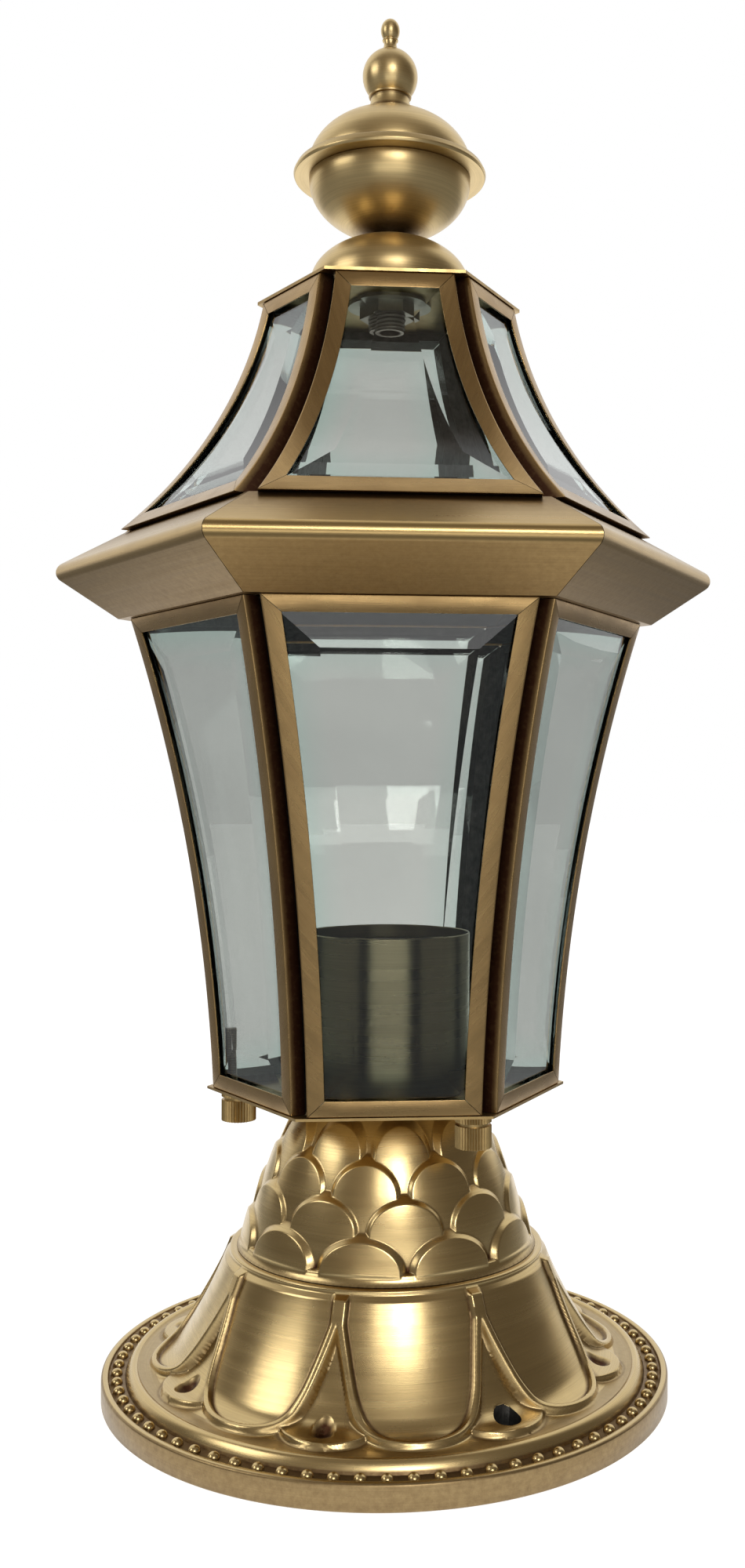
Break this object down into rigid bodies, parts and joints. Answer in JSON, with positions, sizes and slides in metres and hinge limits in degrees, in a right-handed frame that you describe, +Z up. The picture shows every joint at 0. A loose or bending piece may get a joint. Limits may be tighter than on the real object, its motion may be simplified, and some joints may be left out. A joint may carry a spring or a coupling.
{
  "type": "pillar light",
  "caption": "Hexagonal glazed lantern with a flared roof, eave and urn finial on a scaled dome and round petalled foot, fixed on top of a pillar and fitted with a screw-in lamp.",
  "frame": {"origin": "centre of the foot's underside, where it rests on the pillar", "axes": "+Z up along the stem, -Y out through the front pane, +X to the right of it"},
  "size_m": [0.2648, 0.2294, 0.55],
  "materials": {
    "antique_brass_cast": "brushed, darkened in the hollows",
    "antique_brass_sheet": "brushed antique",
    "antique_brass_turned": "turned, antique",
    "bronze_channel": "dark bronzed",
    "clear_glass": "clear with ground bevels",
    "plated_steel": "plated",
    "holder_plastic": "moulded",
    "contact_brass": "plain"
  },
  "bodies": {
    "base": {"petal_foot": "antique_brass_cast", "scale_dome": "antique_brass_cast", "stem_tube": "plated_steel", "stem_nuts": "plated_steel", "stem_washers": "plated_steel", "clamp_strap": "plated_steel", "earth_screw": "plated_steel", "bottom_plate": "antique_brass_sheet", "lamp_cup": "antique_brass_sheet", "lampholder_cap": "holder_plastic", "lampholder_body": "holder_plastic", "lampholder_shell": "contact_brass", "lampholder_contact": "contact_brass"},
    "cage": {"side_frame_1": "bronze_channel", "side_frame_2": "bronze_channel", "side_frame_3": "bronze_channel", "side_frame_4": "bronze_channel", "side_frame_5": "bronze_channel", "side_frame_6": "bronze_channel", "side_pane_1": "clear_glass", "side_pane_2": "clear_glass", "side_pane_3": "clear_glass", "side_pane_4": "clear_glass", "side_pane_5": "clear_glass", "side_pane_6": "clear_glass", "eave_segment_1": "antique_brass_sheet", "eave_segment_2": "antique_brass_sheet", "eave_segment_3": "antique_brass_sheet", "eave_segment_4": "antique_brass_sheet", "eave_segment_5": "antique_brass_sheet", "eave_segment_6": "antique_brass_sheet", "roof_frame_1": "bronze_channel", "roof_frame_2": "bronze_channel", "roof_frame_3": "bronze_channel", "roof_frame_4": "bronze_channel", "roof_frame_5": "bronze_channel", "roof_frame_6": "bronze_channel", "roof_pane_1": "clear_glass", "roof_pane_2": "clear_glass", "roof_pane_3": "clear_glass", "roof_pane_4": "clear_glass", "roof_pane_5": "clear_glass", "roof_pane_6": "clear_glass", "corner_gussets": "bronze_channel", "corner_studs": "plated_steel", "top_plate": "antique_brass_sheet", "collar_dome": "antique_brass_sheet", "urn_bowl": "antique_brass_sheet", "urn_lid": "antique_brass_sheet", "top_nipple": "plated_steel", "nipple_washer": "plated_steel", "nipple_locknut": "plated_steel"},
    "finial": {"finial_ball": "antique_brass_turned", "finial_tip": "antique_brass_turned"},
    "thumb_nut_1": {"thumb_nut_1": "antique_brass_turned"},
    "thumb_nut_2": {"thumb_nut_2": "antique_brass_turned"},
    "thumb_nut_3": {"thumb_nut_3": "antique_brass_turned"}
  },
  "joints": [
    {"name": "cage_lift", "type": "slide", "parent": "base", "child": "cage", "axis": [0, 0, 1], "range_m": [0, 0.15]},
    {"name": "thumb_nut_1_turn", "type": "hinge", "parent": "base", "child": "thumb_nut_1", "pos_m": [0.02974, -0.0515, 0.112], "axis": [0, 0, 1], "continuous": true},
    {"name": "thumb_nut_2_turn", "type": "hinge", "parent": "base", "child": "thumb_nut_2", "pos_m": [0.02974, 0.0515, 0.112], "axis": [0, 0, 1], "continuous": true},
    {"name": "thumb_nut_3_turn", "type": "hinge", "parent": "base", "child": "thumb_nut_3", "pos_m": [-0.05947, 0, 0.112], "axis": [0, 0, 1], "continuous": true},
    {"name": "finial_turn", "type": "hinge", "parent": "cage", "child": "finial", "pos_m": [0, 0, 0.52], "axis": [0, 0, 1], "continuous": true}
  ]
}
